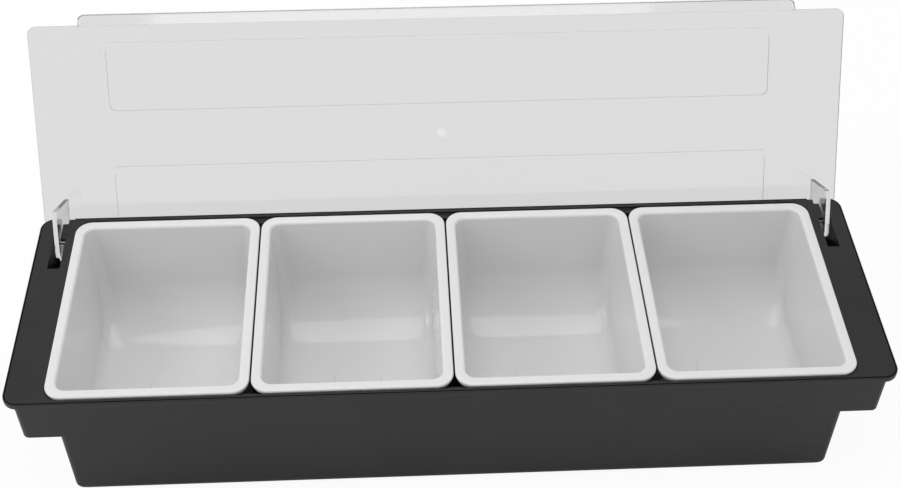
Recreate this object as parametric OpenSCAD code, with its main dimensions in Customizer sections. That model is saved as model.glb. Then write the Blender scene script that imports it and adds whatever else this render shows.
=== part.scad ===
// Condiment caddy: a stepped black tub with a frame on top, four lift-out
// white inserts and one clear flip lid that turns on two arms.
// X runs along the caddy, the front faces -Y, and Z is up from the table.
// The lid is drawn open, leaning back behind the rear rim.

/* [Overall] */
// Length of the caddy over its rim
tray_l = 375; // [345:1:420]
// Depth of the caddy over its rim, front to back
tray_d = 112; // [104:1:130]
// Height from the table to the top of the frame
tray_h = 65; // [58:1:80]
// Radius of the rim's outer corners
rim_r = 6.5; // [5:0.5:9]

/* [Tub] */
// Thickness of the tub's walls
wall = 1.9; // [1.6:0.1:2.4]
// Thickness of the tub's floor
floor_t = 2.6; // [2:0.1:4]
// Lean of the tub's walls, in degrees
draft = 0.8; // [0.4:0.1:2]
// Thickness of the tub's rim
rim_t = 2; // [1.6:0.1:3]
// Depth of the shallow ears at the two ends, from the top of the frame
ear_h = 26.6; // [26:0.2:32]
// Distance from the end of the rim to the end wall of the deep part
ear_l = 17.6; // [16.6:0.1:18.6]
// Radius of the tub's upright corners
tub_r = 5.5; // [4.5:0.5:7]
// Radius of the tub's bottom edge
bottom_r = 5; // [3:0.5:7]
// Radius of the ears' bottom edge
ear_r = 3; // [2.5:0.5:4]

/* [Frame] */
// Thickness of the frame that lies on the tub's rim
frame_t = 2; // [1.6:0.1:2.4]
// How far the frame's edge is drawn in from the rim's edge
frame_in = 0.4; // [0.2:0.1:0.8]
// Height of the groove between the frame and the rim
groove_h = 0.6; // [0.4:0.1:1]
// Depth of that groove
groove_d = 1; // [0.6:0.1:1.4]
// Height of the locating ribs under the frame
rib_h = 4; // [3:0.5:6]
// Thickness of the locating ribs
rib_t = 1.4; // [1.2:0.1:1.8]
// Clearance between a locating rib and the tub's wall
rib_gap = 0.2; // [0.1:0.05:0.4]

/* [Inserts] */
// Distance from the end of the rim to the first insert
end_w = 17; // [16.5:0.1:20]
// Distance from the front of the rim to the inserts
front_w = 1.7; // [1.2:0.1:2.4]
// Distance from the back of the rim to the inserts
back_w = 4.8; // [4:0.1:6]
// Gap between the rims of neighbouring inserts
insert_gap = 0.7; // [0.4:0.1:1.5]
// Width of the flat rim of an insert
insert_rim_w = 4.5; // [4.2:0.1:5.5]
// Thickness of the rim of an insert
insert_rim_t = 1.4; // [1.2:0.1:1.6]
// Radius of the rim's outer corners
insert_r = 7.3; // [6.6:0.1:9]
// Wall thickness of an insert
insert_wall = 1.5; // [1.2:0.1:1.8]
// Space between an insert and the tub's floor below it
under_gap = 5.8; // [4.6:0.2:14]
// Clearance round an insert in the frame's opening
body_gap = 0.5; // [0.3:0.1:0.8]
// Lean of the insert's end walls, in degrees
insert_lean = 2; // [1:0.5:5]
// Lean of the insert's front and back walls, in degrees
insert_lean_y = 4; // [2:0.5:7]
// Radius between the floor and the front and back walls inside an insert
insert_floor_r = 24; // [18:1:26]
// Radius between the floor and the end walls inside an insert
insert_end_r = 7; // [5:0.5:10]
// Radius of the upright corners inside an insert, at its top
mouth_r = 4.5; // [3.5:0.5:6]
// How much wider that radius is at the floor
corner_grow = 1; // [0:0.5:2]
// Diameter of the round pad in the middle of an insert's floor
pad_d = 22; // [14:1:26]
// Height of that pad
pad_h = 0.4; // [0.3:0.1:0.8]

/* [Lid] */
// How far the lid stands out past each end of the rim
lid_over = 2.7; // [0.5:0.1:5]
// Distance of the closed lid's back edge from the back of the rim
lid_rear = 0.7; // [0.4:0.1:1.6]
// Distance of the closed lid's front edge from the front of the rim
lid_front = 2.9; // [2:0.1:5]
// Thickness of the lid
lid_t = 2; // [1.6:0.1:2.6]
// Radius of the lid's corners
lid_r = 3.5; // [2:0.5:5]
// Distance of the finger lip from each end of the lid
lip_in = 23; // [18:1:34]
// Length of the finger lip
lip_l = 6.6; // [6.2:0.2:9]
// Radius of the finger lip's corners
lip_r = 3; // [2:0.5:3]
// Upward bend of the closed lid's finger lip, in degrees
lip_bend = 42; // [30:1:60]
// Distance of the sunk panels from the lid's ends
panel_in = 33; // [28:1:42]
// Width of a sunk panel, front to back
panel_w = 34; // [28:1:38]
// Distance of the sunk panels from the lid's front and back edges
panel_edge = 8; // [7:0.5:12]
// Depth of the sunk panels
panel_dip = 0.7; // [0.5:0.1:0.9]
// Radius of the panels' corners
panel_r = 4; // [2:0.5:6]
// Height of the closed lid's panels over the rims of the inserts
rest_gap = 0.5; // [0.4:0.1:0.8]
// Diameter of the round moulding mark in the middle of the lid
mark_d = 6; // [4:0.5:8]
// Height of that mark
mark_h = 0.4; // [0.3:0.1:0.6]

/* [Hinge] */
// How far the lid turns from closed to open, in degrees
open_deg = 119.4; // [112:0.2:121]
// Distance of the hinge axis from the back of the rim
axis_in = 7.5; // [7:0.1:7.8]
// Depth of the hinge axis below the top of the frame
axis_down = 12; // [11.5:0.1:13]
// Distance from the end of the rim to the arm's outer face
arm_in = 7.7; // [7.4:0.1:8]
// Thickness of an arm
arm_t = 2; // [1.8:0.1:2.2]
// Radius of the arm's round back
arm_r = 6.4; // [5.5:0.1:6.6]
// Reach of the arm in front of the hinge axis
arm_reach = 20; // [16:0.5:21]
// Radius of the arm's lower corners
arm_corner = 4; // [3:0.5:5]
// Clearance between the closed lid's arms and the ears' floor
arm_gap = 0.5; // [0.4:0.1:1]
// Radius of the hinge pins
pin_r = 2.4; // [2:0.1:2.8]
// Clearance all round a pin in its bearing
pin_gap = 0.06; // [0.04:0.01:0.09]
// Thickness of the bearing plates under the frame
bearing_t = 2; // [1.6:0.1:2.2]
// Width of the bearing plates all round the pin
bearing_w = 2; // [1.6:0.1:2.4]
// Clearance between an arm and the sides of its slot
slot_gap = 0.5; // [0.4:0.1:0.7]
// Width of the front part of a slot, where the pin is let in
slot_wide = 5.5; // [5.2:0.1:5.8]
// Length of a slot from the back of the rim
slot_l = 32.9; // [30:0.1:36]
// Length of the slot's wide front part
slot_front = 19.2; // [18:0.1:21]
// Length of the wide notch at the back of a slot
slot_back = 3.9; // [3.5:0.1:4.5]
// Gap between the open lid's arms and the stops in the tub's back wall
stop_gap = 0.3; // [0.2:0.05:0.6]

/* [Hidden] */
$fn = 32;
eps = 0.01;
insert_n = 4;
black = [0.1, 0.1, 0.11];
white = [0.93, 0.93, 0.92];
clear = [0.85, 0.87, 0.88, 0.5];

// Heights of the parts that lie on each other
rim_top = tray_h - frame_t;
rim_z = rim_top - rim_t;
ear_z = tray_h - ear_h;

// The inserts and the frame's opening that they hang in
row_l = tray_l - 2 * end_w;
insert_w = (row_l - (insert_n - 1) * insert_gap) / insert_n;
insert_d = tray_d - front_w - back_w;
insert_y = (front_w - back_w) / 2;
rim_lap = insert_rim_w - insert_wall;
open_l = row_l - 2 * (rim_lap - body_gap);
open_d = insert_d - 2 * (rim_lap - body_gap);
insert_top = tray_h + insert_rim_t;
insert_z = floor_t + under_gap;

// The tub's walls: the front one is in line with the opening
overhang = front_w + rim_lap - body_gap - wall;
ear_span = tray_l - 2 * overhang;
deep_span = tray_l - 2 * ear_l;
wall_span = tray_d - 2 * overhang;

// The hinge axis, and the arms and slots from the middle outwards
axis_y = tray_d / 2 - axis_in;
axis_z = tray_h - axis_down;
arm_out = tray_l / 2 - arm_in;
arm_mid = arm_out - arm_t;
slot_out = arm_out + slot_gap;
slot_land = arm_mid - slot_gap;
slot_in = slot_out - slot_wide;
bearing_in = slot_in - bearing_t;
bearing_r = pin_r + bearing_w;

// The closed lid
lid_z = insert_top + rest_gap + panel_dip;
lid_back = tray_d / 2 - lid_rear;
lid_w = tray_l + 2 * lid_over;
lid_d = tray_d - lid_rear - lid_front;

// How far the closed lid's arms reach below the hinge axis, and behind it down there
arm_drop = ear_h - wall - axis_down - arm_gap;
arm_back = axis_in - overhang - wall - lean(axis_z - arm_drop, draft) - slot_gap;

// Height of the stops that the open lid's arms lean on
tilt = open_deg - 90;
stop_z = axis_z - (arm_r + (axis_in - overhang) * sin(tilt)) / cos(tilt) - stop_gap;

// How far a wall has leaned in at a height below the top of the frame
function lean(z, angle) = (tray_h - z) * tan(angle);

// Middle of an insert along X
function insert_x(i) = (i - (insert_n - 1) / 2) * (insert_w + insert_gap);

// A rectangle with round corners, centred on the origin
module round_rect(l, d, r) {
    square([l - 2 * r, d], center = true);
    square([l, d - 2 * r], center = true);
    for (x = [-1, 1], y = [-1, 1])
        translate([x * (l / 2 - r), y * (d / 2 - r)]) circle(r);
}

// How far a round bottom edge of radius r has come in at height h above the bottom
function round_in(r, h) = h < r ? r - sqrt(r * r - (r - h) * (r - h)) : 0;

// A thin slice of a leaning box; l and d are the box's size at the frame's top
module slice(l, d, r, z, in_x, in_y, lean_x, lean_y) {
    translate([0, 0, z])
        linear_extrude(eps)
            round_rect(l - 2 * (lean(z, lean_x) + in_x), d - 2 * (lean(z, lean_y) + in_y), r);
}

// A leaning box from z up to top, with round corners and round bottom edges:
// edge_y along front and back, and edge_x, which isn't larger, along the ends
module tapered(l, d, r, z, top, edge_y, edge_x, lean_x = draft, lean_y = draft, grow = 0) {
    hull() {
        slice(l, d, r, top - eps, 0, 0, lean_x, lean_y);
        for (a = [0 : 15 : 90])
            let (h = edge_y * (1 - sin(a)))
                slice(l, d, r + grow * (top - z - h) / (top - z), z + h,
                    round_in(edge_x, h), round_in(edge_y, h), lean_x, lean_y);
    }
}

// The gaps in the tub's rim and back wall that the arms and bearings stand in
module arm_notch() {
    x = bearing_in - slot_gap;
    for (s = [0, 1])
        mirror([s, 0, 0])
            translate([x, tray_d / 2 - overhang - 2 * wall, stop_z])
                cube([slot_out - x, overhang + 2 * wall + eps, tray_h]);
}

module base_tub() {
    color(black)
    difference() {
        union() {
            translate([0, 0, rim_z])
                linear_extrude(rim_t - groove_h) round_rect(tray_l, tray_d, rim_r);
            translate([0, 0, rim_top - groove_h - eps])
                linear_extrude(groove_h + eps)
                    round_rect(tray_l - 2 * groove_d, tray_d - 2 * groove_d, rim_r - groove_d);
            tapered(ear_span, wall_span, tub_r, ear_z, rim_z + eps, ear_r, ear_r);
            tapered(deep_span, wall_span, tub_r, 0, rim_z + eps, bottom_r, bottom_r);
        }
        // the deep hollow, and the shallow ears that open into it
        tapered(deep_span - 2 * wall, wall_span - 2 * wall, tub_r - wall,
            floor_t, tray_h, bottom_r - wall / 2, bottom_r - wall / 2);
        tapered(ear_span - 2 * wall, wall_span - 2 * wall, tub_r - wall,
            ear_z + wall, tray_h, ear_r - wall / 2, ear_r - wall / 2);
        arm_notch();
    }
}

// One hinge slot: wide in front, narrow over the pin, notched at the back
module slot_plan() {
    back = tray_d / 2;
    translate([slot_in, back - slot_l]) square([slot_wide, slot_front]);
    translate([slot_land, back - slot_l]) square([slot_out - slot_land, slot_l + eps]);
    translate([slot_in, back - slot_back]) square([slot_wide, slot_back + eps]);
}

// A plate under the frame that carries one pin
module bearing() {
    difference() {
        union() {
            translate([bearing_in, axis_y, axis_z])
                rotate([0, 90, 0]) cylinder(h = bearing_t, r = bearing_r, $fn = 48);
            translate([bearing_in, axis_y - bearing_r, axis_z])
                cube([bearing_t, 2 * bearing_r, axis_down - frame_t + eps]);
        }
        translate([bearing_in - 1, axis_y, axis_z])
            rotate([0, 90, 0]) cylinder(h = bearing_t + 2, r = pin_r + pin_gap, $fn = 48);
    }
}

// The ribs under the frame that stand just inside the tub's walls
module locating_ribs() {
    in_x = ear_span / 2 - wall - rib_gap - lean(rim_top - rib_h, draft);
    in_y = wall_span / 2 - wall - rib_gap - lean(rim_top - rib_h, draft);
    front = -tray_d / 2 + 3 * rim_r;
    for (s = [0, 1])
        mirror([s, 0, 0])
            translate([in_x - rib_t, front, rim_top - rib_h])
                cube([rib_t, tray_d / 2 - slot_l - rib_h - front, rib_h + eps]);
    half = slot_in - 2 * slot_l;
    translate([-half, in_y - rib_t, rim_top - rib_h])
        cube([2 * half, rib_t, rib_h + eps]);
}

module top_frame() {
    color(black)
    union() {
        translate([0, 0, rim_top])
            linear_extrude(frame_t)
                difference() {
                    round_rect(tray_l - 2 * frame_in, tray_d - 2 * frame_in, rim_r - frame_in);
                    translate([0, insert_y]) round_rect(open_l, open_d, insert_r - rim_lap);
                    for (s = [0, 1]) mirror([s, 0]) slot_plan();
                }
        locating_ribs();
        for (s = [0, 1]) mirror([s, 0, 0]) bearing();
    }
}

module insert_box(i) {
    body_l = insert_w - 2 * rim_lap;
    body_d = insert_d - 2 * rim_lap;
    color(white)
    translate([insert_x(i), insert_y, 0])
    union() {
        difference() {
            union() {
                translate([0, 0, tray_h])
                    linear_extrude(insert_rim_t) round_rect(insert_w, insert_d, insert_r);
                tapered(body_l, body_d, mouth_r + insert_wall, insert_z, tray_h + eps,
                    insert_floor_r + insert_wall / 2, insert_end_r + insert_wall / 2,
                    insert_lean, insert_lean_y, corner_grow);
            }
            tapered(body_l - 2 * insert_wall, body_d - 2 * insert_wall, mouth_r,
                insert_z + insert_wall, insert_top + eps,
                insert_floor_r, insert_end_r, insert_lean, insert_lean_y, corner_grow);
        }
        translate([0, 0, insert_z + insert_wall - eps])
            cylinder(h = pad_h + eps, d = pad_d, $fn = 48);
    }
}

// The lid as it lies when it is closed
module lid_closed() {
    middle = lid_back - lid_d / 2;
    row = lid_d / 2 - panel_edge - panel_w / 2;
    difference() {
        union() {
            translate([0, middle, lid_z]) linear_extrude(lid_t) round_rect(lid_w, lid_d, lid_r);
            for (s = [-1, 1])
                translate([0, middle + s * row, lid_z - panel_dip])
                    linear_extrude(lid_t)
                        round_rect(lid_w - 2 * panel_in, panel_w, panel_r);
        }
        for (s = [-1, 1])
            translate([0, middle + s * row, lid_z + lid_t - panel_dip])
                linear_extrude(lid_t)
                    round_rect(lid_w - 2 * panel_in - 2 * lid_t, panel_w - 2 * lid_t,
                        panel_r - lid_t / 2);
    }
    translate([0, middle, lid_z - mark_h]) cylinder(h = mark_h + eps, d = mark_d);
    finger_lip();
    for (s = [0, 1]) mirror([s, 0, 0]) arm();
}

// The bent strip along the lid's front edge
module finger_lip() {
    l = lid_w - 2 * lip_in;
    translate([0, lid_back - lid_d, lid_z])
        rotate([-lip_bend, 0, 0])
            translate([0, -lip_l / 2, 0])
                linear_extrude(lid_t)
                    union() {
                        round_rect(l, lip_l, lip_r);
                        translate([-l / 2, 0]) square([l, lip_l / 2]);
                    }
}

// One arm seen from its end, with the hinge axis at the origin
module arm_plan() {
    rise = lid_z - axis_z + eps;
    circle(arm_r, $fn = 64);
    square([arm_r, rise]);
    translate([-arm_reach, arm_corner - arm_drop])
        square([arm_reach + arm_back, rise + arm_drop - arm_corner]);
    translate([arm_corner - arm_reach, -arm_drop])
        square([arm_reach + arm_back - 2 * arm_corner, rise + arm_drop]);
    for (y = [arm_corner - arm_reach, arm_back - arm_corner])
        translate([y, arm_corner - arm_drop]) circle(arm_corner);
}

// One arm: a flat plate that fills the ear's depth, and a pin that points inwards
module arm() {
    translate([arm_mid, axis_y, axis_z])
        rotate([90, 0, 90])
            linear_extrude(arm_t) arm_plan();
    translate([bearing_in - slot_gap, axis_y, axis_z])
        rotate([0, 90, 0])
            cylinder(h = arm_mid - bearing_in + slot_gap + eps, r = pin_r, $fn = 48);
}

module lid() {
    color(clear)
    translate([0, axis_y, axis_z])
        rotate([-open_deg, 0, 0])
            translate([0, -axis_y, -axis_z])
                lid_closed();
}

base_tub();
top_frame();
insert_box(0);  // insert_1
insert_box(1);  // insert_2
insert_box(2);  // insert_3
insert_box(3);  // insert_4
lid();
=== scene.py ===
"""Condiment caddy: a stepped black tub, its frame, four lift-out inserts and a clear flip lid.

All sizes are in metres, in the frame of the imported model: X runs along the caddy,
the front faces -Y, and Z is up from the table.
"""
import logging
import math
from dataclasses import dataclass
from enum import Enum
from typing import Any, Optional, Sequence, Tuple

import bmesh
import bpy
from mathutils import Matrix, Vector


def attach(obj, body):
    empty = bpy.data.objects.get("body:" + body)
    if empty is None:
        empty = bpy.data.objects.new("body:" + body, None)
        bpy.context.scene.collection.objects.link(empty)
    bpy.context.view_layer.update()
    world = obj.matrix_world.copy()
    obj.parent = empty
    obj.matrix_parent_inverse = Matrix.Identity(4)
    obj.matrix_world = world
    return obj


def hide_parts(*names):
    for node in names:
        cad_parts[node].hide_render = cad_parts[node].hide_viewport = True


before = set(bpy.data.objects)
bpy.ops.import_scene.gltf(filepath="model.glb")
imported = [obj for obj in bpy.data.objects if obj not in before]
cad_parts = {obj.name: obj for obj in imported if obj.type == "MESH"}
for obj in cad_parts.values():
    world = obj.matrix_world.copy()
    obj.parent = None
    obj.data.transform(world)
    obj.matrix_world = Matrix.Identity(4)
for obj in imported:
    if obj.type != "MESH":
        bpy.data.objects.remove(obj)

LOG = logging.getLogger("caddy")
MM = 0.001
Colour = Tuple[float, float, float]
Point = Tuple[float, float, float]


class Body(Enum):
    """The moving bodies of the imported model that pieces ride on."""

    TRAY = "tray"
    LID = "flip_lid"


class Slot(Enum):
    """The record's material slots."""

    BLACK = "black_plastic"
    WHITE = "white_plastic"
    CLEAR = "clear_plastic"


class Join(Enum):
    """Ways to combine two solids."""

    ADD = "UNION"
    CUT = "DIFFERENCE"


# shader maths


class Value:
    """A number socket of a shader that Python's operators work on."""

    def __init__(self, graph: "Graph", socket: Any) -> None:
        """Wrap a socket.

        Args:
            graph: The graph that new nodes go into.
            socket: The output socket that carries the number.
        """
        self.graph = graph
        self.socket = socket

    def _math(self, operation: str, first: Any, second: Any) -> "Value":
        """Add one Math node and wrap its result."""
        node = self.graph.node("ShaderNodeMath", {"operation": operation}, {0: first, 1: second})
        return Value(self.graph, node.outputs[0])

    def __add__(self, other: Any) -> "Value":
        """Return self + other."""
        return self._math("ADD", self, other)

    def __mul__(self, other: Any) -> "Value":
        """Return self * other."""
        return self._math("MULTIPLY", self, other)

    __radd__ = __add__
    __rmul__ = __mul__

    def step(self, low: float, high: float) -> "Value":
        """Return a smooth step.

        Args:
            low: Where the step is still 0.
            high: Where the step has reached 1; it may lie below low.

        Returns:
            A value from 0 to 1.
        """
        node = self.graph.node(
            "ShaderNodeMapRange",
            {"interpolation_type": "SMOOTHSTEP"},
            {"Value": self, "From Min": low, "From Max": high, "To Min": 0.0, "To Max": 1.0},
        )
        return Value(self.graph, node.outputs["Result"])


class Graph:
    """The node tree of one material or of the world."""

    def __init__(self, tree: Any) -> None:
        """Empty a node tree and keep it."""
        self.tree = tree
        tree.nodes.clear()

    def node(self, kind: str, settings: Optional[dict] = None, inputs: Optional[dict] = None) -> Any:
        """Add a node.

        Args:
            kind: The node's type name.
            settings: Attributes that are set before the inputs.
            inputs: Socket names or numbers, with a number, a colour, a Value or a socket each.

        Returns:
            The new node.
        """
        node = self.tree.nodes.new(kind)
        for key, setting in (settings or {}).items():
            setattr(node, key, setting)
        for key, wanted in (inputs or {}).items():
            socket = node.inputs[key]
            source = wanted.socket if isinstance(wanted, Value) else wanted
            if isinstance(source, bpy.types.NodeSocket):
                self.tree.links.new(source, socket)
            elif socket.type == "RGBA":
                socket.default_value = (*source, 1.0)
            else:
                socket.default_value = source
        return node

    def place(self) -> Any:
        """Return the socket of the object coordinates, which are the model's metres."""
        return self.node("ShaderNodeTexCoord").outputs["Object"]

    def stretched(self, scale: Point, turn: Point = (0.0, 0.0, 0.0)) -> Any:
        """Return object coordinates that are scaled, and turned by radians about each axis."""
        inputs = {"Vector": self.place(), "Scale": scale, "Rotation": turn}
        return self.node("ShaderNodeMapping", None, inputs).outputs["Vector"]

    def noise(self, scale: float, detail: float = 2.0, rough: float = 0.5, where: Any = None) -> Value:
        """Return a noise value.

        Args:
            scale: Waves per metre.
            detail: Number of finer layers.
            rough: Strength of the finer layers.
            where: The coordinates, or none for the plain object coordinates.

        Returns:
            The noise, mostly between 0.3 and 0.7.
        """
        inputs = {"Vector": where or self.place(), "Scale": scale, "Detail": detail, "Roughness": rough}
        return Value(self, self.node("ShaderNodeTexNoise", None, inputs).outputs["Fac"])

    def cells(self, scale: float) -> Value:
        """Return the distance to the nearest of many scattered points."""
        settings = {"feature": "F1"}
        node = self.node("ShaderNodeTexVoronoi", settings, {"Vector": self.place(), "Scale": scale})
        return Value(self, node.outputs["Distance"])

    def distance(self, centre: Point) -> Value:
        """Return the distance from a point of the model, in metres."""
        settings = {"operation": "DISTANCE"}
        node = self.node("ShaderNodeVectorMath", settings, {0: self.place(), 1: centre})
        return Value(self, node.outputs["Value"])

    def blend(self, factor: Any, first: Any, second: Any) -> Any:
        """Mix two colours.

        Args:
            factor: 0 for the first colour, 1 for the second.
            first: A colour or a colour socket.
            second: A colour or a colour socket.

        Returns:
            The mixed colour's socket.
        """
        node = self.node("ShaderNodeMix", {"data_type": "RGBA"}, {0: factor, 6: first, 7: second})
        return node.outputs[2]

    def bump(self, height: Value, strength: float, distance: float) -> Any:
        """Turn a height into a normal.

        Args:
            height: The height, from 0 to 1.
            strength: How much of it shows.
            distance: The height in metres that 1 stands for.

        Returns:
            The normal's socket.
        """
        inputs = {"Height": height, "Strength": strength, "Distance": distance}
        return self.node("ShaderNodeBump", None, inputs).outputs["Normal"]

    def finish(self, inputs: dict) -> None:
        """Link a Principled shader with these inputs to the material's output."""
        shader = self.node("ShaderNodeBsdfPrincipled", None, inputs)
        self.node("ShaderNodeOutputMaterial", None, {"Surface": shader.outputs[0]})


def new_material(name: str) -> Tuple[Any, Graph]:
    """Make an empty node material.

    Args:
        name: The material's name.

    Returns:
        The material and its graph.
    """
    material = bpy.data.materials.new(name)
    material.use_nodes = True
    return material, Graph(material.node_tree)


# finishes


@dataclass(frozen=True)
class BlackMoulding:
    """Satin black moulded plastic with fine grain, faint smears and a few scuffs."""

    name: str = "black_moulding"
    colour: Colour = (0.011, 0.011, 0.0115)
    worn: Colour = (0.020, 0.020, 0.021)
    scuffed: Colour = (0.16, 0.16, 0.16)
    rough: float = 0.42
    rough_range: float = 0.14
    smear_scale: float = 14.0
    cloud_scale: float = 55.0
    grain_scale: float = 1900.0
    streak_stretch: Point = (35.0, 900.0, 900.0)
    streak_turn: Point = (0.0, 0.0, 0.6)
    streak_patches: float = 9.0
    dust_scale: float = 160.0
    dust_patches: float = 31.0
    relief: float = 0.05 * MM

    def build(self) -> Any:
        """Make the material.

        Returns:
            The finished material.
        """
        material, graph = new_material(self.name)
        smear = graph.noise(self.smear_scale, 4.0, 0.6)
        cloud = graph.noise(self.cloud_scale, 3.0, 0.55)
        grain = graph.noise(self.grain_scale, 1.0, 0.4)
        streaks = graph.noise(1.0, 3.0, 0.7, graph.stretched(self.streak_stretch, self.streak_turn))
        marks = graph.noise(self.streak_patches, 1.0).step(0.60, 0.72) * streaks.step(0.66, 0.74)
        dust = graph.cells(self.dust_scale).step(0.045, 0.02)
        dust = dust * graph.noise(self.dust_patches).step(0.52, 0.62)
        tone = graph.blend(smear.step(0.30, 0.75) * 0.5 + cloud * 0.25, self.colour, self.worn)
        tone = graph.blend(marks * 0.35 + dust * 0.30, tone, self.scuffed)
        smooth = self.rough - self.rough_range / 2
        graph.finish({
            "Base Color": tone,
            "Roughness": smear * self.rough_range + smooth + marks * 0.1,
            "IOR": 1.4,
            "Normal": graph.bump(grain + marks * 0.6, 0.22, self.relief),
        })
        return material


@dataclass(frozen=True)
class WhiteMoulding:
    """Glossy white moulded plastic that lets a little light in."""

    name: str = "white_moulding"
    colour: Colour = (0.755, 0.755, 0.753)
    shade: Colour = (0.725, 0.725, 0.723)
    speck: Colour = (0.45, 0.45, 0.44)
    rough: float = 0.06
    rough_range: float = 0.05
    fine_range: float = 0.02
    depth: float = 3 * MM
    flow_stretch: Point = (24.0, 60.0, 24.0)
    cloud_scale: float = 18.0
    fine_scale: float = 420.0
    fine_share: float = 0.05
    speck_scale: float = 240.0
    speck_patches: float = 40.0
    relief: float = 0.4 * MM

    def build(self) -> Any:
        """Make the material.

        Returns:
            The finished material.
        """
        material, graph = new_material(self.name)
        flow = graph.noise(1.0, 3.0, 0.5, graph.stretched(self.flow_stretch))
        cloud = graph.noise(self.cloud_scale, 3.0, 0.5)
        fine = graph.noise(self.fine_scale, 2.0, 0.5)
        tone = graph.blend(flow * 0.5 + cloud * 0.4, self.colour, self.shade)
        specks = graph.cells(self.speck_scale).step(0.04, 0.02)
        specks = specks * graph.noise(self.speck_patches).step(0.55, 0.62)
        tone = graph.blend(specks * 0.25, tone, self.speck)
        smooth = self.rough - self.rough_range / 2
        waves = cloud * (1.0 - self.fine_share) + fine * self.fine_share
        graph.finish({
            "Base Color": tone,
            "Roughness": cloud * self.rough_range + smooth + fine * self.fine_range,
            "IOR": 1.5,
            "Subsurface Weight": 0.12,
            "Subsurface Radius": (self.depth, self.depth, self.depth * 0.9),
            "Subsurface Scale": 1.0,
            "Normal": graph.bump(waves, 0.05, self.relief),
        })
        return material


@dataclass(frozen=True)
class ClearMoulding:
    """Clear plastic with a light grey haze, wiped marks, hair scratches and a pale round mark."""

    name: str = "clear_moulding"
    colour: Colour = (0.735, 0.736, 0.738)
    smeared: Colour = (0.715, 0.716, 0.718)
    rough: float = 0.04
    rough_range: float = 0.05
    cloud_scale: float = 12.0
    fine_scale: float = 650.0
    hair_stretch: Point = (30.0, 700.0, 700.0)
    hair_turn: Point = (0.3, 0.2, 0.5)
    hair_patches: float = 11.0
    relief: float = 0.3 * MM
    mark: Point = (0.0, 0.0, 0.0)
    mark_colour: Colour = (0.82, 0.82, 0.82)
    mark_radius: float = 3 * MM

    def build(self) -> Any:
        """Make the material.

        Returns:
            The finished material.
        """
        material, graph = new_material(self.name)
        cloud = graph.noise(self.cloud_scale, 3.0, 0.5)
        fine = graph.noise(self.fine_scale, 2.0, 0.5)
        hairs = graph.noise(1.0, 3.0, 0.7, graph.stretched(self.hair_stretch, self.hair_turn))
        scuff = graph.noise(self.hair_patches, 1.0).step(0.56, 0.7) * hairs.step(0.66, 0.74)
        tone = graph.blend(cloud * 0.6 + scuff * 0.4, self.colour, self.smeared)
        inside = graph.distance(self.mark).step(1.05 * self.mark_radius, 0.6 * self.mark_radius)
        tone = graph.blend(inside, tone, self.mark_colour)
        graph.finish({
            "Base Color": tone,
            "Roughness": cloud * self.rough_range + self.rough + scuff * 0.15,
            "IOR": 1.49,
            "Transmission Weight": 1.0,
            "Normal": graph.bump(cloud * 0.7 + fine * 0.3, 0.05, self.relief),
        })
        return material


# modelling with Blender's own operators


@dataclass(frozen=True)
class Ring:
    """One level of a lofted form: a rectangle with round corners."""

    length: float
    depth: float
    radius: float
    z: float
    x: float = 0.0
    y: float = 0.0

    def inset(self, by: float, z: float) -> "Ring":
        """Return a ring that is smaller all round.

        Args:
            by: How far each side comes in.
            z: The new ring's height.

        Returns:
            The new ring, with corners parallel to the old ones.
        """
        corner = max(self.radius - by, 0.2 * MM)
        return Ring(self.length - 2 * by, self.depth - 2 * by, corner, z, self.x, self.y)


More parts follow.
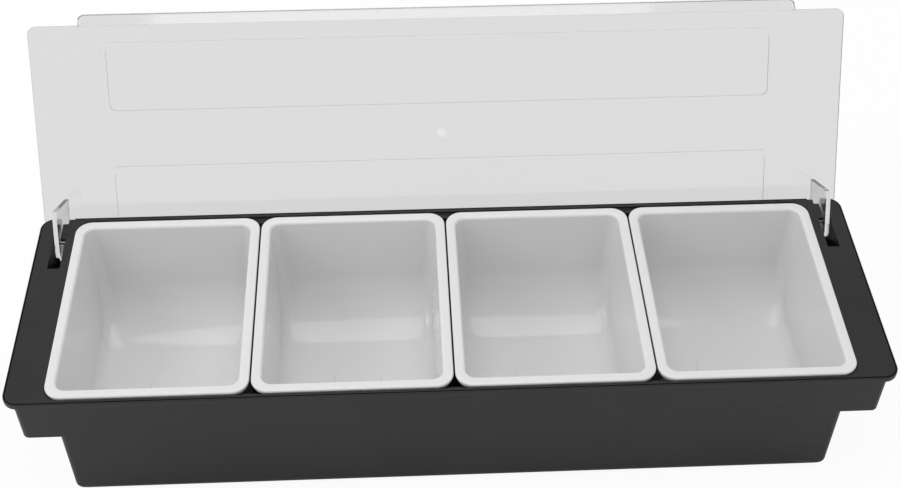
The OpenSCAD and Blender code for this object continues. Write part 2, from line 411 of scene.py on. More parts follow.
class Workshop:
    """Makes meshes with Blender's own mesh operators."""

    corner_steps: int = 10
    rod_sides: int = 64
    stack: float = 10 * MM
    sharp: float = 0.05 * MM

    @staticmethod
    def clear_selection() -> None:
        """Leave edit mode and deselect every object."""
        if bpy.context.object and bpy.context.object.mode != "OBJECT":
            bpy.ops.object.mode_set(mode="OBJECT")
        bpy.ops.object.select_all(action="DESELECT")

    @classmethod
    def take(cls, piece: Any) -> None:
        """Make one object the only selected and active one."""
        cls.clear_selection()
        piece.select_set(True)
        bpy.context.view_layer.objects.active = piece

    @classmethod
    def start(cls, name: str) -> Any:
        """Add an object with an empty mesh and enter edit mode.

        Args:
            name: The object's name.

        Returns:
            The new object, in edit mode.
        """
        cls.clear_selection()
        bpy.ops.mesh.primitive_plane_add(size=1.0, location=(0.0, 0.0, 0.0))
        piece = bpy.context.active_object
        piece.name = name
        piece.data.name = name
        bpy.ops.object.mode_set(mode="EDIT")
        bpy.ops.mesh.select_mode(type="VERT")
        bpy.ops.mesh.select_all(action="SELECT")
        bpy.ops.mesh.delete(type="VERT")
        return piece

    @classmethod
    def loft(cls, name: str, rings: Sequence[Ring], steps: Optional[int] = None) -> Any:
        """Bridge a row of rings into one closed solid.

        Args:
            name: The object's name.
            rings: The levels, in order along the surface.
            steps: Number of steps round each corner.

        Returns:
            The new object.
        """
        piece = cls.start(name)
        segments = steps or cls.corner_steps
        # the rings are stacked evenly while they are bridged, then each is moved to its height
        for index, ring in enumerate(rings):
            centre = (ring.x, ring.y, index * cls.stack)
            bpy.ops.mesh.select_all(action="DESELECT")
            bpy.ops.mesh.primitive_plane_add(size=1.0, location=centre)
            bpy.ops.transform.resize(value=(ring.length, ring.depth, 1.0), center_override=centre)
            bpy.ops.mesh.bevel(
                offset=ring.radius,
                affect="VERTICES",
                segments=segments,
                clamp_overlap=False,
            )
            bpy.ops.mesh.delete(type="ONLY_FACE")
        count = 4 * (segments + 1)
        for index in range(len(rings) - 1):
            cls.pick(piece, (index, index + 1), count)
            bpy.ops.mesh.bridge_edge_loops()
        for index in (0, len(rings) - 1):
            cls.pick(piece, (index,), count)
            bpy.ops.mesh.edge_face_add()
        for index, ring in enumerate(rings):
            cls.pick(piece, (index,), count)
            bpy.ops.transform.translate(value=(0.0, 0.0, ring.z - index * cls.stack))
        bpy.ops.mesh.select_all(action="SELECT")
        bpy.ops.mesh.normals_make_consistent(inside=False)
        bpy.ops.object.mode_set(mode="OBJECT")
        return piece

    @staticmethod
    def pick(piece: Any, rings: Sequence[int], count: int) -> None:
        """Select some rings of a loft, in edit mode.

        Args:
            piece: The loft.
            rings: The rings' places in the row.
            count: Number of points in a ring.
        """
        bpy.ops.mesh.select_all(action="DESELECT")
        mesh = bmesh.from_edit_mesh(piece.data)
        mesh.verts.ensure_lookup_table()
        for ring in rings:
            for index in range(ring * count, (ring + 1) * count):
                mesh.verts[index].select_set(True)
        mesh.select_flush(True)
        bmesh.update_edit_mesh(piece.data)

    @classmethod
    def box(cls, name: str, low: Point, high: Point) -> Any:
        """Make a box.

        Args:
            name: The object's name.
            low: The lowest corner.
            high: The highest corner.

        Returns:
            The new object.
        """
        size = [high[i] - low[i] for i in range(3)]
        centre = ((low[0] + high[0]) / 2, (low[1] + high[1]) / 2)
        rings = [Ring(size[0], size[1], cls.sharp, z, *centre) for z in (low[2], high[2])]
        return cls.loft(name, rings, 1)

    @classmethod
    def rod(cls, name: str, centre: Point, radius: float, length: float, edge: float = 0.0) -> Any:
        """Make a round rod that lies along X.

        Args:
            name: The object's name.
            centre: The rod's middle.
            radius: The rod's radius.
            length: The rod's length.
            edge: Width of the rounding at both ends.

        Returns:
            The new object.
        """
        cls.clear_selection()
        bpy.ops.mesh.primitive_cylinder_add(
            vertices=cls.rod_sides, radius=radius, depth=length, location=centre,
            rotation=(0.0, math.pi / 2, 0.0),
        )
        piece = bpy.context.active_object
        piece.name = name
        bpy.ops.object.transform_apply(location=True, rotation=True, scale=True)
        if edge:
            cls.soften(piece, edge)
        return piece

    @classmethod
    def block(cls, name: str, low: float, high: float, outline: Ring) -> Any:
        """Make a solid with upright walls.

        Args:
            name: The object's name.
            low: Height of its underside.
            high: Height of its top.
            outline: Its outline, at any height.

        Returns:
            The new object.
        """
        return cls.loft(name, [outline.inset(0.0, low), outline.inset(0.0, high)])

    @classmethod
    def place(cls, piece: Any, where: Matrix) -> Any:
        """Turn and move a piece, with its place kept in its mesh.

        Args:
            piece: The piece.
            where: The turn and the move.

        Returns:
            The same piece.
        """
        cls.take(piece)
        piece.matrix_world = where
        bpy.ops.object.transform_apply(location=True, rotation=True, scale=True)
        return piece

    @classmethod
    def copy(cls, piece: Any, name: str, where: Matrix) -> Any:
        """Copy a finished piece to another place, with a mesh of its own.

        Args:
            piece: The piece, which stays.
            name: The copy's name.
            where: The copy's place.

        Returns:
            The copy.
        """
        twin = piece.copy()
        twin.data = piece.data.copy()
        twin.name = name
        twin.data.name = name
        bpy.context.scene.collection.objects.link(twin)
        return cls.place(twin, where)

    @classmethod
    def join(cls, piece: Any, tool: Any, how: Join) -> None:
        """Combine two solids and delete the second.

        Args:
            piece: The solid that stays.
            tool: The solid that is added or cut away.
            how: Whether it is added or cut away.
        """
        cls.take(piece)
        change = piece.modifiers.new("join", "BOOLEAN")
        change.object = tool
        change.operation = how.value
        change.solver = "MANIFOLD"
        bpy.ops.object.modifier_apply(modifier=change.name)
        bpy.data.objects.remove(tool)

    @classmethod
    def soften(cls, piece: Any, width: float, segments: int = 3, angle: float = 40.0) -> None:
        """Round the sharp edges of a solid.

        Args:
            piece: The solid.
            width: Width of the rounding.
            segments: Steps across it.
            angle: Edges sharper than this many degrees are rounded.
        """
        cls.take(piece)
        change = piece.modifiers.new("soften", "BEVEL")
        change.width = width
        change.segments = segments
        change.limit_method = "ANGLE"
        change.angle_limit = math.radians(angle)
        change.miter_outer = "MITER_ARC"
        change.use_clamp_overlap = True
        bpy.ops.object.modifier_apply(modifier=change.name)

    @classmethod
    def clean(cls, piece: Any, distance: float = 0.01 * MM) -> None:
        """Merge doubled points and turn all faces outwards.

        Args:
            piece: The solid.
            distance: Points closer than this become one.
        """
        cls.take(piece)
        bpy.ops.object.mode_set(mode="EDIT")
        bpy.ops.mesh.select_all(action="SELECT")
        bpy.ops.mesh.remove_doubles(threshold=distance)
        bpy.ops.mesh.dissolve_degenerate(threshold=distance)
        bpy.ops.mesh.normals_make_consistent(inside=False)
        bpy.ops.object.mode_set(mode="OBJECT")

    @classmethod
    def polish(cls, piece: Any, angle: float = 35.0) -> Any:
        """Shade a solid smoothly, with flat faces kept flat.

        Args:
            piece: The solid.
            angle: Edges sharper than this many degrees stay sharp.

        Returns:
            The same solid.
        """
        cls.take(piece)
        bpy.ops.object.shade_smooth_by_angle(angle=math.radians(angle))
        change = piece.modifiers.new("flats", "WEIGHTED_NORMAL")
        change.keep_sharp = True
        change.weight = 100
        bpy.ops.object.modifier_apply(modifier=change.name)
        return piece


def arc(radius: float, steps: int) -> Sequence[Tuple[float, float]]:
    """Return a quarter circle as pairs of how far in and how far along.

    Args:
        radius: The circle's radius.
        steps: Number of steps.

    Returns:
        Pairs that start at (0, 0) and end at (radius, radius).
    """
    turns = [math.pi / 2 * i / steps for i in range(steps + 1)]
    return [(radius * (1 - math.cos(t)), radius * math.sin(t)) for t in turns]


def round_in(radius: float, height: float) -> float:
    """Return how far a round bottom edge has come in at a height above the bottom."""
    return radius - math.sqrt(radius ** 2 - (radius - height) ** 2) if height < radius else 0.0


def dress(piece: Any, material: Any, body: str, node: str) -> None:
    """Give a piece its material and its place among the moving bodies.

    Args:
        piece: The finished piece.
        material: Its material.
        body: The body that it rides on.
        node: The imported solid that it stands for.
    """
    piece.data.materials.clear()
    piece.data.materials.append(material)
    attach(piece, body)
    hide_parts(node)
    LOG.info("%s: %d faces on %s", piece.name, len(piece.data.polygons), body)


# the caddy's sub-assemblies


@dataclass(frozen=True)
class Sizes:
    """Sizes that more than one sub-assembly uses.

    A part that is joined to another reaches into it by embed, and a cutting tool stands out
    past the surface that it cuts.
    """

    length: float = 375 * MM
    depth: float = 112 * MM
    height: float = 65 * MM
    rim_radius: float = 6.5 * MM
    overhang: float = 2.3 * MM
    end_overhang: float = 3.7 * MM
    wall: float = 1.9 * MM
    frame_thick: float = 2 * MM
    rim_thick: float = 0.8 * MM
    lip: float = 0.5 * MM
    seam: float = 0.45 * MM
    seat_drop: float = 1.2 * MM
    end_width: float = 17 * MM
    front_width: float = 2.3 * MM
    back_width: float = 4.5 * MM
    insert_count: int = 4
    insert_gap: float = 0.7 * MM
    insert_rim: float = 4.5 * MM
    insert_rim_thick: float = 1.4 * MM
    insert_wall: float = 1.5 * MM
    insert_radius: float = 7.3 * MM
    axis_in: float = 7.5 * MM
    axis_down: float = 12 * MM
    arm_in: float = 7.7 * MM
    arm_thick: float = 2 * MM
    slot_gap: float = 0.5 * MM
    slot_wide: float = 5.5 * MM
    bearing_thick: float = 2 * MM
    pin_radius: float = 2.4 * MM
    embed: float = 0.3 * MM
    past: float = 1 * MM

    @property
    def axis_y(self) -> float:
        """Return the hinge axis' place from front to back."""
        return self.depth / 2 - self.axis_in

    @property
    def axis_z(self) -> float:
        """Return the hinge axis' height."""
        return self.height - self.axis_down

    @property
    def slot_out(self) -> float:
        """Return the outer side of the right hinge slot."""
        return self.length / 2 - self.arm_in + self.slot_gap

    @property
    def slot_in(self) -> float:
        """Return the inner side of the right hinge slot's wide part."""
        return self.slot_out - self.slot_wide

    @property
    def bearing_in(self) -> float:
        """Return the inner face of the right bearing plate."""
        return self.slot_in - self.bearing_thick

    @property
    def insert_length(self) -> float:
        """Return the width of one insert along X."""
        gaps = (self.insert_count - 1) * self.insert_gap
        return (self.length - 2 * self.end_width - gaps) / self.insert_count

    @property
    def insert_depth(self) -> float:
        """Return the depth of one insert."""
        return self.depth - self.front_width - self.back_width

    @property
    def insert_y(self) -> float:
        """Return the middle of the inserts from front to back."""
        return (self.front_width - self.back_width) / 2

    @property
    def insert_pitch(self) -> float:
        """Return the distance between neighbouring inserts' middles."""
        return self.insert_length + self.insert_gap

    @property
    def lap(self) -> float:
        """Return how far an insert's rim stands out past its body."""
        return self.insert_rim - self.insert_wall

    @property
    def shelf(self) -> float:
        """Return the height of the frame's underside, where it lies on the tub's rim."""
        return self.height - self.frame_thick

    @property
    def arm_face(self) -> float:
        """Return the inner face of the right arm."""
        return self.length / 2 - self.arm_in - self.arm_thick


SIZES = Sizes()


@dataclass
class Tub:
    """The stepped tub with its shallow ears and its rim."""

    sizes: Sizes = SIZES
    lean: float = math.tan(math.radians(0.8))
    ear_height: float = 25.5 * MM
    ear_floor: float = 0.8 * MM
    ear_length: float = 19.1 * MM
    end_wall: float = 1.0 * MM
    radius: float = 2.7 * MM
    bottom_radius: float = 5 * MM
    end_stretch: float = 1.6
    ear_radius: float = 1.2 * MM
    round_steps: int = 8
    ear_steps: int = 6
    edge_steps: int = 4
    floor: float = 2.6 * MM
    stop_z: float = 42.42 * MM
    edge: float = 0.35 * MM

    @property
    def depth(self) -> float:
        """Return the outer depth under the rim."""
        return self.sizes.depth - 2 * self.sizes.overhang

    @property
    def inner_depth(self) -> float:
        """Return the inner depth under the rim."""
        return self.depth - 2 * self.sizes.wall

    @property
    def ear_z(self) -> float:
        """Return the height of the ears' underside."""
        return self.sizes.height - self.ear_height

    def level(self, length: float, depth: float, z: float, corner: float,
              in_x: float = 0.0, in_y: float = 0.0) -> Ring:
        """Return the outline of a leaning wall at a height.

        Args:
            length: The wall's length at the top of the caddy.
            depth: Its depth at the top of the caddy.
            z: The height.
            corner: Radius of the upright corners.
            in_x: How far the two ends come in.
            in_y: How far front and back come in.

        Returns:
            The outline.
        """
        lean = (self.sizes.height - z) * self.lean
        return Ring(length - 2 * (lean + in_x), depth - 2 * (lean + in_y), corner, z)

    def shell(self, length: float, low: float, radius: float, steps: int, stretch: float) -> Sequence[Ring]:
        """Return an outer form with a round lower edge.

        Args:
            length: Its length at the top of the caddy.
            low: The height of its underside.
            radius: Radius of the lower edge.
            steps: Number of steps round it.
            stretch: How much further the edge reaches in at the two ends.

        Returns:
            Its rings from the underside up into the rim.
        """
        rings = []
        for inward, along in reversed(arc(radius, steps)):
            z = low + radius - along
            rings.append(self.level(length, self.depth, z, self.radius, inward * stretch, inward))
        top = self.sizes.shelf - self.sizes.rim_thick / 2
        rings.append(self.level(length, self.depth, top, self.radius))
        return rings

    def rim(self) -> Sequence[Ring]:
        """Return the rim all round.

        Returns:
            Its rings from the underside up to the lip.
        """
        s = self.sizes
        low = s.shelf - s.rim_thick
        top = s.height - self.edge / 2
        ring = Ring(s.length, s.depth, s.rim_radius, low)
        curve = arc(self.edge, self.edge_steps)
        rings = [ring.inset(inward, low + self.edge - along) for inward, along in reversed(curve)]
        rings.extend(ring.inset(inward, top - self.edge + along) for inward, along in curve)
        return rings

    def inside(self) -> Sequence[Ring]:
        """Return the inner surface.

        Returns:
            Its rings from the top down to the floor.
        """
        s = self.sizes
        deep = s.length - 2 * (self.ear_length + self.end_wall)
        ears = s.length - 2 * (s.end_overhang + s.wall)
        shelf = self.ear_z + self.ear_floor
        corner = self.radius - s.wall
        rings = [self.level(ears, self.inner_depth, s.height - s.frame_thick / 2, corner)]
        radius = self.ear_radius
        for inward, along in arc(radius, self.ear_steps):
            z = shelf + radius - along
            rings.append(self.level(ears, self.inner_depth, z, corner, inward))
        rings.append(self.level(deep, self.inner_depth, shelf, corner))
        radius = self.bottom_radius - s.wall / 2
        for inward, along in arc(radius, self.round_steps):
            z = self.floor + radius - along
            rings.append(self.level(deep, self.inner_depth, z, corner, inward, inward))
        return rings

    def build(self) -> Any:
        """Model the tub.

        Returns:
            The finished mesh object.
        """
        s = self.sizes
        pocket = Ring(s.length, s.depth, s.rim_radius, s.shelf).inset(s.lip, s.shelf)
        deep = s.length - 2 * self.ear_length
        whole = s.length - 2 * s.end_overhang
        body = self.shell(deep, 0.0, self.bottom_radius, self.round_steps, self.end_stretch)
        ears = self.shell(whole, self.ear_z, self.ear_radius, self.ear_steps, 1.0)
        piece = Workshop.loft("tub", body)
        Workshop.join(piece, Workshop.loft("ears", ears), Join.ADD)
        Workshop.join(piece, Workshop.loft("rim", self.rim()), Join.ADD)
        Workshop.join(piece, Workshop.block("pocket", s.shelf, s.height + s.past, pocket), Join.CUT)
        Workshop.join(piece, Workshop.loft("inside", self.inside()), Join.CUT)
        inner = s.bearing_in - s.slot_gap
        front = s.depth / 2 - s.overhang - 2 * s.wall
        back = s.depth / 2 + 5 * s.past
        for side in (-1, 1):
            low, high = sorted((side * inner, side * s.slot_out))
            notch = Workshop.box("notch", (low, front, self.stop_z), (high, back, 2 * s.height))
            Workshop.join(piece, notch, Join.CUT)
        Workshop.clean(piece)
        return Workshop.polish(piece)


@dataclass
class TopFrame:
    """The flat frame on the tub's rim, with the two hinge slots and bearings."""

    sizes: Sizes = SIZES
    ledge: float = 1.3 * MM
    seat_gap: float = 0.3 * MM
    seat_gap_back: float = 2.0 * MM
    slot_length: float = 32.9 * MM
    slot_front: float = 19.2 * MM
    slot_back: float = 3.9 * MM
    bearing_width: float = 2 * MM
    pin_gap: float = 0.06 * MM
    rib_height: float = 4 * MM
    rib_thick: float = 1.4 * MM
    rib_gap: float = 0.3 * MM
    merge: float = 0.1 * MM
    edge: float = 0.45 * MM

    def build(self) -> Any:
        """Model the frame.

        Returns:
            The finished mesh object.
        """
        s = self.sizes
        low, top, over = s.shelf, s.height, s.height + s.past
        outer = Ring(s.length, s.depth, s.rim_radius, low).inset(s.lip + s.seam, low)
        piece = Workshop.block("top_rim", low, top, outer)
        row = Ring(s.length - 2 * s.end_width, s.insert_depth, s.insert_radius, low, 0.0, s.insert_y)
        opening = Workshop.block("opening", low - s.past, over, row.inset(self.ledge, low))
        Workshop.join(piece, opening, Join.CUT)
        extra = self.seat_gap_back - self.seat_gap
        seat = Ring(
            row.length + 2 * self.seat_gap, row.depth + self.seat_gap + self.seat_gap_back,
            row.radius, low, 0.0, s.insert_y + extra / 2,
        )
        Workshop.join(piece, Workshop.block("seat", top - s.seat_drop, over, seat), Join.CUT)
        for side in (-1, 1):
            self.cut_slot(piece, side)
        Workshop.clean(piece, self.merge)
        Workshop.soften(piece, self.edge, angle=60.0)
        # the ribs stand inside the tub's end walls and its back wall
        outer = s.length / 2 - s.end_overhang - s.wall - self.rib_gap
        front = -s.depth / 2 + 3 * s.rim_radius
        back = s.depth / 2 - self.slot_length - self.rib_height
        for side in (-1, 1):
            self.add_bearing(piece, side)
            first, last = sorted((side * outer, side * (outer - self.rib_thick)))
            self.add_rib(piece, (first, front), (last, back))
        outer = s.depth / 2 - s.overhang - s.wall - self.rib_gap
        half = s.slot_in - 2 * self.slot_length
        self.add_rib(piece, (-half, outer - self.rib_thick), (half, outer))
        Workshop.clean(piece)
        return Workshop.polish(piece)

    def cut_slot(self, piece: Any, side: int) -> None:
        """Cut one stepped hinge slot, which is open to the back.

        Args:
            piece: The frame.
            side: -1 for the left end, 1 for the right end.
        """
        s = self.sizes
        back = s.depth / 2
        front = back - self.slot_length
        narrow = s.arm_face - s.slot_gap
        for inner, start, end in (
            (s.slot_in, front, front + self.slot_front),
            (narrow, front + s.past, back + s.past),
            (s.slot_in, back - self.slot_back, back + s.past),
        ):
            first, last = sorted((side * inner, side * s.slot_out))
            low, high = (first, start, s.shelf - s.past), (last, end, s.height + s.past)
            Workshop.join(piece, Workshop.box("slot", low, high), Join.CUT)

    def add_bearing(self, piece: Any, side: int) -> None:
        """Add the plate that carries one pin.

        Args:
            piece: The frame.
            side: -1 for the left end, 1 for the right end.
        """
        s = self.sizes
        reach = s.pin_radius + self.bearing_width
        centre = (side * (s.bearing_in + s.bearing_thick / 2), s.axis_y, s.axis_z)
        plate = Workshop.rod("bearing", centre, reach, s.bearing_thick)
        first, last = sorted((side * s.bearing_in, side * s.slot_in))
        low = (first, s.axis_y - reach, s.axis_z)
        web = Workshop.box("web", low, (last, s.axis_y + reach, s.shelf + s.embed))
        Workshop.join(plate, web, Join.ADD)
        bore = Workshop.rod("bore", centre, s.pin_radius + self.pin_gap, 4 * s.bearing_thick)
        Workshop.join(plate, bore, Join.CUT)
        Workshop.join(piece, plate, Join.ADD)

    def add_rib(self, piece: Any, first: Tuple[float, float], last: Tuple[float, float]) -> None:
        """Add a locating rib between two corners of its plan."""
        s = self.sizes
        low, high = (*first, s.shelf - self.rib_height), (*last, s.shelf + s.embed)
        Workshop.join(piece, Workshop.box("rib", low, high), Join.ADD)


@dataclass
class Inserts:
    """The row of white inserts that hang by their rims in the frame."""

    sizes: Sizes = SIZES
    bottom: float = 8.4 * MM
    lean_x: float = math.tan(math.radians(2))
    lean_y: float = math.tan(math.radians(4))
    floor_radius: float = 24 * MM
    end_radius: float = 7 * MM
    mouth_radius: float = 4.5 * MM
    corner_grow: float = 1 * MM
    corner_steps: int = 12
    bowl_steps: int = 22
    least_step: float = 0.03 * MM
    rim_edge: float = 0.6 * MM
    rim_under: float = 0.3 * MM
    mouth_edge: float = 1.3 * MM
    skirt_in: float = 0.5 * MM
    skirt_wide: float = 0.7 * MM
    skirt_gap: float = 0.05 * MM
    pad_radius: float = 11 * MM
    pad_height: float = 0.4 * MM

    def level(self, z: float, inward: float, corner: float,
              curve: Tuple[float, float] = (0.0, 0.0)) -> Ring:
        """Return the leaning body's outline at a height.

        Args:
            z: The height.
            inward: How far the outline lies inside the body's outer face.
            corner: Its corner radius.
            curve: How far the round bottom edges bring the ends, and front and back, in.

        Returns:
            The outline.
        """
        s = self.sizes
        drop = s.height - z
        length = s.insert_length - 2 * (s.lap + inward + drop * self.lean_x + curve[0])
        depth = s.insert_depth - 2 * (s.lap + inward + drop * self.lean_y + curve[1])
        return Ring(length, depth, corner, z, 0.0, s.insert_y)

    def bowl(self, floor: float, inward: float, extra: float) -> Sequence[Ring]:
        """Return the round lower part of one surface.

        Args:
            floor: The height of the surface's flat bottom.
            inward: How far the surface lies inside the body's outer face.
            extra: What is added to the radii of the bottom edges.

        Returns:
            The surface's rings, from the floor up.
        """
        top = self.sizes.height
        side, end = self.floor_radius + extra, self.end_radius + extra
        corner = self.mouth_radius + self.sizes.insert_wall - inward
        turns = [math.pi / 2 * i / self.bowl_steps for i in range(self.bowl_steps + 1)]
        heights = {round(radius * (1 - math.cos(t)), 7) for t in turns for radius in (side, end)}
        rings = []
        for height in sorted(heights):
            if rings and height - (rings[-1].z - floor) < self.least_step:
                continue
            grown = corner + self.corner_grow * (top - floor - height) / (top - floor)
            curve = (round_in(end, height), round_in(side, height))
            rings.append(self.level(floor + height, inward, grown, curve))
        return rings

    def hollow(self, floor: float, top: float) -> Sequence[Ring]:
        """Return the inner surface with its round pad.

        Args:
            floor: The height of the inner floor.
            top: The height of the rim's top.

        Returns:
            The rings from the pad's middle out and up to the mouth.
        """
        wall = self.sizes.insert_wall
        width = 2 * self.pad_radius
        pad = Ring(width, width, self.pad_radius, floor, 0.0, self.sizes.insert_y)
        rings = [pad.inset(inward, floor + along) for inward, along in reversed(arc(self.pad_height, 3))]
        rings.extend(self.bowl(floor, wall, 0.0))
        for inward, along in arc(self.mouth_edge, 6):
            z = top - self.mouth_edge + along
            rings.append(self.level(z, wall - inward, self.mouth_radius + inward))
        return rings

    def rim(self, top: float) -> Sequence[Ring]:
        """Return the rim with the skirt that stands in the frame's seat.

        Args:
            top: The height of the rim's top.

        Returns:
            The rings from the rim's top round its edge to the skirt's inner face.
        """
        s = self.sizes
        rim = Ring(s.insert_length, s.insert_depth, s.insert_radius, top, 0.0, s.insert_y)
        edge = self.rim_edge
        skirt_foot = s.height - s.seat_drop
        skirt_back = self.skirt_in + self.skirt_wide
        return [
            *(rim.inset(inward, top - edge + along) for inward, along in reversed(arc(edge, 4))),
            rim.inset(0.0, s.height + self.rim_under),
            rim.inset(self.rim_under, s.height),
            rim.inset(self.skirt_in, s.height),
            rim.inset(self.skirt_in, skirt_foot),
            rim.inset(skirt_back, skirt_foot),
            rim.inset(skirt_back, s.height - self.skirt_gap),
        ]

    def model(self) -> Any:
        """Model one insert in the middle of the caddy.

        Returns:
            The finished mesh object.
        """
        s = self.sizes
        wall = s.insert_wall
        top = s.height + s.insert_rim_thick
        corner = self.mouth_radius + wall
        rings = [
            *self.hollow(self.bottom + wall, top),
            *self.rim(top),
            self.level(s.height, -s.embed, corner),
            self.level(s.height - s.embed, 0.0, corner),
            *reversed(self.bowl(self.bottom, 0.0, wall / 2)),
        ]
        piece = Workshop.loft("insert_model", rings, self.corner_steps)
        Workshop.clean(piece)
        return Workshop.polish(piece, 30.0)

    def build(self) -> Sequence[Any]:
        """Model one insert and copy it along the row.

        Returns:
            The inserts from left to right.
        """
        model = self.model()
        count = self.sizes.insert_count
        row = []
        for index in range(count):
            middle = (index - (count - 1) / 2) * self.sizes.insert_pitch
            where = Matrix.Translation(Vector((middle, 0.0, 0.0)))
            row.append(Workshop.copy(model, f"insert_{index + 1}_shell", where))
        bpy.data.meshes.remove(model.data)
        return row


@dataclass
class FlipLid:
    """The clear lid with its finger lip, its sunk panels, two arms and two pins."""

    sizes: Sizes = SIZES
    over: float = 2.7 * MM
    rear: float = 0.7 * MM
    front: float = 2.9 * MM
    thick: float = 2 * MM
    radius: float = 3.5 * MM
    lip_in: float = 23 * MM
    lip_length: float = 6.6 * MM
    lip_radius: float = 3 * MM
    lip_bend: float = math.radians(42)
    panel_in: float = 33 * MM
    panel_width: float = 34 * MM
    panel_edge: float = 8 * MM
    panel_dip: float = 0.7 * MM
    panel_radius: float = 4 * MM
    rest_gap: float = 0.5 * MM
    mark_radius: float = 3 * MM
    mark_height: float = 0.25 * MM
    mark_slope: float = 0.8 * MM
    arm_radius: float = 6.4 * MM
    arm_reach: float = 20 * MM
    arm_drop: float = 12.2 * MM
    arm_back: float = 2.44 * MM
    arm_corner: float = 4 * MM
    embed: float = 0.5 * MM
    pin_edge: float = 0.3 * MM
    open_angle: float = math.radians(119.4)
    edge: float = 0.4 * MM

    @property
    def under(self) -> float:
        """Return the height of the closed plate's underside."""
        s = self.sizes
        return s.height + s.insert_rim_thick + self.rest_gap + self.panel_dip

    @property
    def width(self) -> float:
        """Return the plate's length along X."""
        return self.sizes.length + 2 * self.over

    @property
    def depth(self) -> float:
        """Return the plate's depth."""
        return self.sizes.depth - self.rear - self.front

    @property
    def middle(self) -> float:
        """Return the closed plate's middle from front to back."""
        return self.sizes.depth / 2 - self.rear - self.depth / 2

    def swing(self) -> Matrix:
        """Return the turn that leans the closed lid back."""
        hinge = Matrix.Translation(Vector((0.0, self.sizes.axis_y, self.sizes.axis_z)))
        return hinge @ Matrix.Rotation(-self.open_angle, 4, "X") @ hinge.inverted()

    def mark_place(self) -> Point:
        """Return the place of the round mark on the open lid."""
        return tuple(self.swing() @ Vector((0.0, self.middle, self.under)))

    def build(self) -> Any:
        """Model the lid closed, then lean it back.

        Returns:
            The finished mesh object.
        """
        plate = Ring(self.width, self.depth, self.radius, self.under, 0.0, self.middle)
        piece = Workshop.block("flip_lid_shell", self.under, self.under + self.thick, plate)
        Workshop.soften(piece, self.edge, angle=30.0)
        for side in (-1, 1):
            self.add_panel(piece, side)
        for side in (-1, 1):
            self.add_arm(piece, side)
        self.add_lip(piece)
        for side in (-1, 1):
            self.add_pin(piece, side)
        self.add_mark(piece)
        Workshop.place(piece, self.swing())
        return Workshop.polish(piece)

    def add_panel(self, piece: Any, side: int) -> None:
        """Sink one long panel into the plate.

        Args:
            piece: The lid.
            side: -1 for the front panel, 1 for the back panel.
        """
        row = self.middle + side * (self.depth / 2 - self.panel_edge - self.panel_width / 2)
        length = self.width - 2 * self.panel_in
        low, top = self.under - self.panel_dip, self.under + self.thick - self.panel_dip
        pad = Ring(length, self.panel_width, self.panel_radius, low, 0.0, row)
        Workshop.join(piece, Workshop.block("pad", low, self.under + self.embed, pad), Join.ADD)
        inner = pad.inset(self.thick, top)
        sunk = Ring(inner.length, inner.depth, self.panel_radius - self.thick / 2, top, 0.0, row)
        tool = Workshop.block("sunk", top, self.under + 2 * self.thick, sunk)
        Workshop.join(piece, tool, Join.CUT)

    def add_arm(self, piece: Any, side: int) -> None:
        """Add one arm without its pin.

        Args:
            piece: The lid.
            side: -1 for the left end, 1 for the right end.
        """
        s = self.sizes
        first, last = sorted((side * (s.arm_face + s.arm_thick), side * s.arm_face))
        middle = (first + last) / 2
        top = self.under + self.embed
        arm = Workshop.rod("arm", (middle, s.axis_y, s.axis_z), self.arm_radius, s.arm_thick)
        rear = (last, s.axis_y + self.arm_radius, top)
        Workshop.join(arm, Workshop.box("rear", (first, s.axis_y - s.past, s.axis_z), rear), Join.ADD)
        front, back = s.axis_y - self.arm_reach, s.axis_y + self.arm_back
        low, corner = s.axis_z - self.arm_drop, self.arm_corner
        plate = Workshop.box("plate", (first, front, low + corner), (last, back, top))
        foot = Workshop.box("foot", (first, front + corner, low), (last, back - corner, top))
        Workshop.join(plate, foot, Join.ADD)
        for place in (front + corner, back - corner):
            round_end = Workshop.rod("corner", (middle, place, low + corner), corner, s.arm_thick)
            Workshop.join(plate, round_end, Join.ADD)
        Workshop.join(arm, plate, Join.ADD)
        Workshop.join(piece, arm, Join.ADD)

    def add_lip(self, piece: Any) -> None:
        """Add the bent finger lip."""
        length = self.width - 2 * self.lip_in
        overlap, past = self.lip_radius, self.sizes.past
        shift = (overlap - self.lip_length) / 2
        ring = Ring(length, self.lip_length + overlap, self.lip_radius, 0.0, 0.0, shift)
        lip = Workshop.block("lip", 0.0, self.thick, ring)
        Workshop.soften(lip, self.edge, angle=30.0)
        tail = Workshop.box("tail", (-length, 0.0, -past), (length, 2 * overlap, self.thick + past))
        Workshop.join(lip, tail, Join.CUT)
        front = Matrix.Translation(Vector((0.0, self.middle - self.depth / 2, self.under)))
        Workshop.place(lip, front @ Matrix.Rotation(-self.lip_bend, 4, "X"))
        Workshop.join(piece, lip, Join.ADD)

    def add_pin(self, piece: Any, side: int) -> None:
        """Add the pin that turns in one of the frame's bearings.

        Args:
            piece: The lid.
            side: -1 for the left end, 1 for the right end.
        """
        s = self.sizes
        end = s.bearing_in - s.slot_gap
        centre = (side * (s.arm_face + end) / 2, s.axis_y, s.axis_z)
        length = s.arm_face - end + 2 * s.embed
        pin = Workshop.rod("pin", centre, s.pin_radius, length, self.pin_edge)
        Workshop.join(piece, pin, Join.ADD)

    def add_mark(self, piece: Any) -> None:
        """Add the low round mark in the middle of the underside."""
        width, height = 2 * self.mark_radius, self.mark_height
        mark = Ring(width, width, self.mark_radius, self.under + self.embed, 0.0, self.middle)
        edge = mark.inset(0.0, self.under - 0.1 * height)
        face = mark.inset(self.mark_slope, self.under - height)
        Workshop.join(piece, Workshop.loft("mark", [mark, edge, face]), Join.ADD)


# the studio


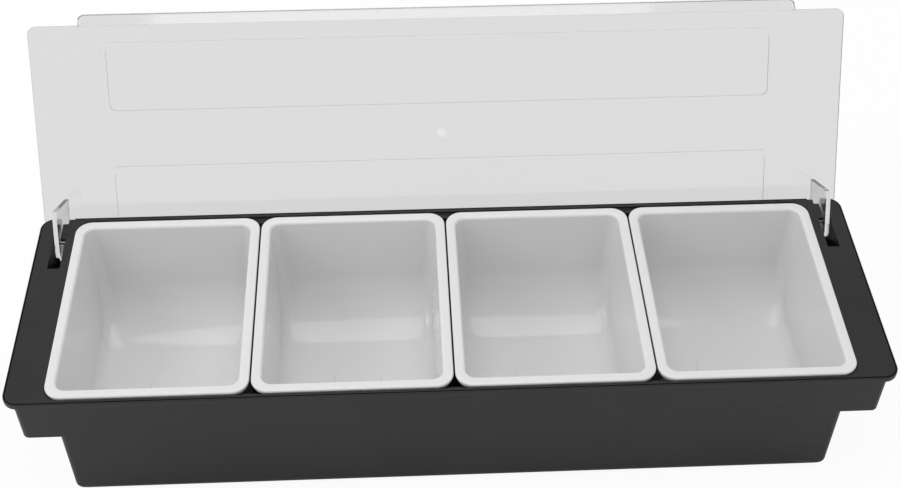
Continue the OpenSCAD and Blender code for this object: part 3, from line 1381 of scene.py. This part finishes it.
@dataclass(frozen=True)
class SoftBox:
    """One round soft lamp."""

    name: str
    place: Point
    target: Point
    size: Tuple[float, float]
    power: float

    def build(self) -> None:
        """Hang the lamp and turn it to its target."""
        data = bpy.data.lights.new(self.name, "AREA")
        data.shape = "ELLIPSE"
        data.size, data.size_y = self.size
        data.energy = self.power
        lamp = bpy.data.objects.new(self.name, data)
        bpy.context.scene.collection.objects.link(lamp)
        lamp.location = self.place
        beam = Vector(self.target) - Vector(self.place)
        lamp.rotation_euler = beam.to_track_quat("-Z", "Y").to_euler()


@dataclass(frozen=True)
class Studio:
    """A pale floor, soft lights, and the camera at the photograph's angle."""

    camera_place: Point = (-0.02126, -0.43848, 0.52607)
    camera_turn: Point = (45.5899, -0.2396, -2.5562)
    lens: float = 57.451
    sensor: float = 36.0
    near: float = 0.01
    floor_size: float = 12.0
    floor_colour: Colour = (0.93, 0.93, 0.93)
    floor_white: float = 0.93
    white: Colour = (1.0, 1.0, 1.0)
    ambient: float = 0.66
    lamps: Tuple[SoftBox, ...] = (
        SoftBox("top_soft_box", (-0.012, 0.103, 1.0), (-0.012, 0.103, 0.0), (0.645, 1.06), 2.7),
        SoftBox("left_fill", (-0.9, -0.1, 0.8), (0.0, 0.0, 0.03), (0.7, 0.7), 3.2),
    )

    def build(self) -> None:
        """Make the floor, the lights, the world and the camera."""
        self.add_floor()
        self.add_world()
        for lamp in self.lamps:
            lamp.build()
        self.add_camera()

    @staticmethod
    def seen(graph: Graph) -> Value:
        """Return 1 where the camera looks, straight or through the clear lid."""
        path = graph.node("ShaderNodeLightPath").outputs
        return Value(graph, path["Is Camera Ray"]) + Value(graph, path["Is Transmission Ray"])

    def add_floor(self) -> None:
        """Make a wide pale floor that keeps a soft shadow."""
        Workshop.clear_selection()
        bpy.ops.mesh.primitive_plane_add(size=self.floor_size, location=(0.0, 0.0, 0.0))
        floor = bpy.context.active_object
        floor.name = "floor"
        material, graph = new_material("pale_floor")
        factor = self.seen(graph) * self.floor_white
        plain = graph.node("ShaderNodeBsdfDiffuse", None, {"Color": self.floor_colour})
        white = graph.node("ShaderNodeEmission", None, {"Color": self.white, "Strength": 1.0})
        mix = graph.node("ShaderNodeMixShader", None, {0: factor, 1: plain.outputs[0], 2: white.outputs[0]})
        graph.node("ShaderNodeOutputMaterial", None, {"Surface": mix.outputs[0]})
        floor.data.materials.append(material)

    def add_world(self) -> None:
        """Light the scene evenly and show white to the camera, also through the lid."""
        world = bpy.data.worlds.new("white_room")
        bpy.context.scene.world = world
        world.use_nodes = True
        graph = Graph(world.node_tree)
        factor = self.seen(graph)
        dim = graph.node("ShaderNodeBackground", None, {"Color": self.white, "Strength": self.ambient})
        white = graph.node("ShaderNodeBackground", None, {"Color": self.white, "Strength": 1.0})
        mix = graph.node("ShaderNodeMixShader", None, {0: factor, 1: dim.outputs[0], 2: white.outputs[0]})
        graph.node("ShaderNodeOutputWorld", None, {"Surface": mix.outputs[0]})

    def add_camera(self) -> None:
        """Put the camera at the photograph's viewing angle."""
        data = bpy.data.cameras.new("camera")
        data.sensor_width = self.sensor
        data.lens = self.lens
        data.clip_start = self.near
        camera = bpy.data.objects.new("camera", data)
        bpy.context.scene.collection.objects.link(camera)
        camera.location = self.camera_place
        camera.rotation_euler = [math.radians(turn) for turn in self.camera_turn]
        bpy.context.scene.camera = camera


def main() -> None:
    """Build the caddy and its studio, and report each piece."""
    logging.basicConfig(level=logging.INFO, format="%(name)s %(message)s")
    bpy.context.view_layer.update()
    black = BlackMoulding().build()
    white = WhiteMoulding().build()
    flip_lid = FlipLid()
    clear = ClearMoulding(mark=flip_lid.mark_place(), mark_radius=flip_lid.mark_radius).build()
    dress(Tub().build(), black, Body.TRAY.value, "base_tub")
    dress(TopFrame().build(), black, Body.TRAY.value, "top_frame")
    for number, piece in enumerate(Inserts().build(), 1):
        dress(piece, white, f"cup_{number}", f"insert_{number}")
    dress(flip_lid.build(), clear, Body.LID.value, "lid")
    Studio().build()
    bpy.context.scene.view_settings.view_transform = "Standard"


if __name__ == "__main__":
    main()
